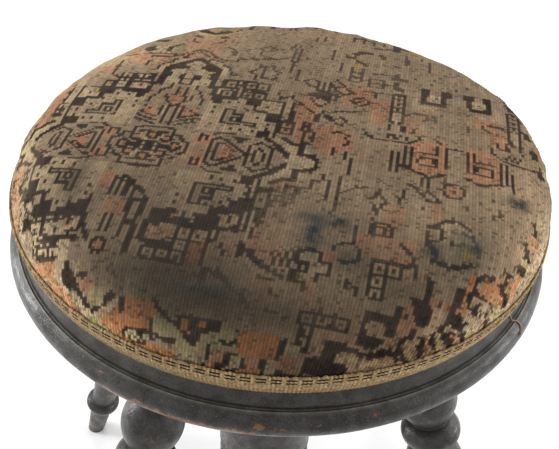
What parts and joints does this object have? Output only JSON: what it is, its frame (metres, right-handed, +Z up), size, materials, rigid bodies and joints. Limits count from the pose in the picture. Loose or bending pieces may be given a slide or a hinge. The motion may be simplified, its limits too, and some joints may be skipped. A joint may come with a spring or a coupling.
{
  "type": "revolving piano stool",
  "caption": "Round revolving piano stool: a stuffed seat in carpet cover on an iron screw that winds up and down in a turned ebonised wood stand with splayed legs.",
  "frame": {"origin": "on the floor under the middle of the seat", "axes": "+Z up along the seat screw; the stool stands upright with its seat wound right down"},
  "size_m": [0.3556, 0.3556, 0.516],
  "materials": {
    "ebonised_wood": "worn ebonised satin",
    "wedge_wood": "plain oiled",
    "carpet": "worn wool pile",
    "selvedge": "woven edge band",
    "calico": "plain weave",
    "horsehair": "curled hair stuffing",
    "cast_iron": "dull, aged",
    "screw_steel": "greased, worn",
    "dark_steel": "aged",
    "leather": "pressed"
  },
  "bodies": {
    "stand": {"platform": "ebonised_wood", "screw_nut": "cast_iron", "nut_screws": "dark_steel", "column": "ebonised_wood", "drop_finial": "ebonised_wood", "leg_front_right": "ebonised_wood", "leg_back_right": "ebonised_wood", "leg_back_left": "ebonised_wood", "leg_front_left": "ebonised_wood", "tenon_wedges": "wedge_wood"},
    "washer": {"buffer_washer": "leather"},
    "seat": {"seat_board": "ebonised_wood", "stuffing": "horsehair", "calico_lining": "calico", "seat_cover": "carpet", "edge_band": "selvedge", "cover_tacks": "dark_steel", "seat_plate": "cast_iron", "plate_screws": "dark_steel", "seat_screw": "screw_steel", "stop_washer": "cast_iron", "stop_nut": "cast_iron"}
  },
  "joints": [
    {"name": "seat_rise", "type": "slide", "parent": "stand", "child": "washer", "axis": [0, 0, 1], "range_m": [0, 0.104]},
    {"name": "seat_turn", "type": "hinge", "parent": "washer", "child": "seat", "pos_m": [0, 0, 0], "axis": [0, 0, 1], "range_deg": [0, 4680]}
  ],
  "couplings": [
    {"joint": "seat_rise", "follows": "seat_turn", "m_per_rad": 0.0012732}
  ]
}
